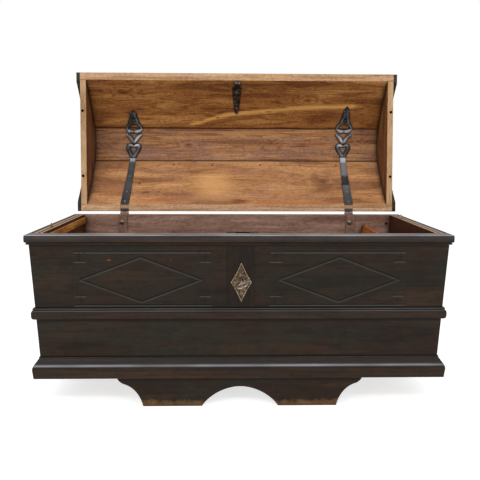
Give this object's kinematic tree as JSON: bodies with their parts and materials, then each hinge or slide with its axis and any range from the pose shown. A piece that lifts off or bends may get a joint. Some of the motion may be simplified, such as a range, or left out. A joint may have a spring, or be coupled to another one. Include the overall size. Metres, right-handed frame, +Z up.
{
  "type": "coffer chest",
  "caption": "Wooden coffer chest on shaped feet with mouldings, carved front panels, a vaulted hinged lid on pierced strap hinges, a till, and a lock with its key.",
  "frame": {"origin": "on the floor, under the middle of the bounding box of the chest with its lid open", "axes": "+X to the right along the front, +Y from the front to the back, +Z up"},
  "size_m": [1.6, 1.054, 1.3665],
  "materials": {
    "carved_front": "dark stained and waxed, carved lines",
    "outer_wood": "dark stained and waxed",
    "moulding_wood": "dark stained and waxed, rubbed on the edges",
    "inner_wood": "bare and dry",
    "till_wood": "bare, warm brown",
    "peg_wood": "bare and rubbed",
    "hinge_iron": "hammered, grey",
    "nail_iron": "rubbed bright",
    "lock_iron": "black, worn smooth",
    "key_iron": "dark, worn smooth",
    "plate_brass": "dull, aged",
    "lid_wood": "bare, oiled",
    "lid_end_wood": "bare, dark brown"
  },
  "bodies": {
    "carcase": {"front_board_upper": "carved_front", "front_board_lower": "outer_wood", "centre_stile": "outer_wood", "foot_front": "outer_wood", "foot_back": "outer_wood", "end_board_left_upper": "outer_wood", "end_board_left_lower": "outer_wood", "end_board_right_upper": "outer_wood", "end_board_right_lower": "outer_wood", "top_moulding_front": "moulding_wood", "top_moulding_left": "moulding_wood", "top_moulding_right": "moulding_wood", "mid_moulding_front": "moulding_wood", "mid_moulding_left": "moulding_wood", "mid_moulding_right": "moulding_wood", "plinth_front": "moulding_wood", "plinth_left": "moulding_wood", "plinth_right": "moulding_wood", "back_board_upper": "inner_wood", "back_board_lower": "inner_wood", "bottom_board_1": "inner_wood", "bottom_board_2": "inner_wood", "bottom_board_3": "inner_wood", "foot_rail_left": "inner_wood", "foot_rail_right": "inner_wood", "hand_rail_left": "till_wood", "till_side": "till_wood", "till_bottom": "till_wood", "rim_peg_left": "peg_wood", "rim_peg_right": "peg_wood", "hinge_leaf_left": "hinge_iron", "hinge_leaf_right": "hinge_iron", "hinge_bolt_left": "hinge_iron", "hinge_bolt_right": "hinge_iron", "hinge_pin_left": "hinge_iron", "hinge_pin_right": "hinge_iron", "lock_plate_nail_top": "nail_iron", "lock_plate_nail_bottom": "nail_iron", "lock_case": "lock_iron", "lock_plate": "plate_brass"},
    "lid": {"lid_plank_back": "lid_wood", "lid_plank_middle": "lid_wood", "lid_plank_front": "lid_wood", "lid_end_left": "lid_end_wood", "lid_end_right": "lid_end_wood", "hinge_strap_left": "hinge_iron", "hinge_strap_right": "hinge_iron", "catch_plate": "hinge_iron", "catch_nail_1": "nail_iron", "catch_nail_2": "nail_iron", "strap_nail_left_1": "nail_iron", "strap_nail_left_2": "nail_iron", "strap_nail_left_3": "nail_iron", "strap_nail_right_1": "nail_iron", "strap_nail_right_2": "nail_iron", "strap_nail_right_3": "nail_iron"},
    "key": {"key": "key_iron"},
    "bolt": {"lock_bolt": "lock_iron"}
  },
  "joints": [
    {"name": "lid_hinge", "type": "hinge", "parent": "carcase", "child": "lid", "pos_m": [0, 0.26617, 0.6849], "axis": [1, 0, 0], "range_deg": [0, 96.7]},
    {"name": "key_turn", "type": "hinge", "parent": "carcase", "child": "key", "pos_m": [0.003, -0.43703, 0.512], "axis": [0, 1, 0], "range_deg": [-70, 110]},
    {"name": "bolt_slide", "type": "slide", "parent": "carcase", "child": "bolt", "axis": [1, 0, 0], "range_m": [-0.01167, 0.01833]}
  ],
  "couplings": [
    {"joint": "key_turn", "follows": "bolt_slide", "rad_per_m": 104.72}
  ]
}
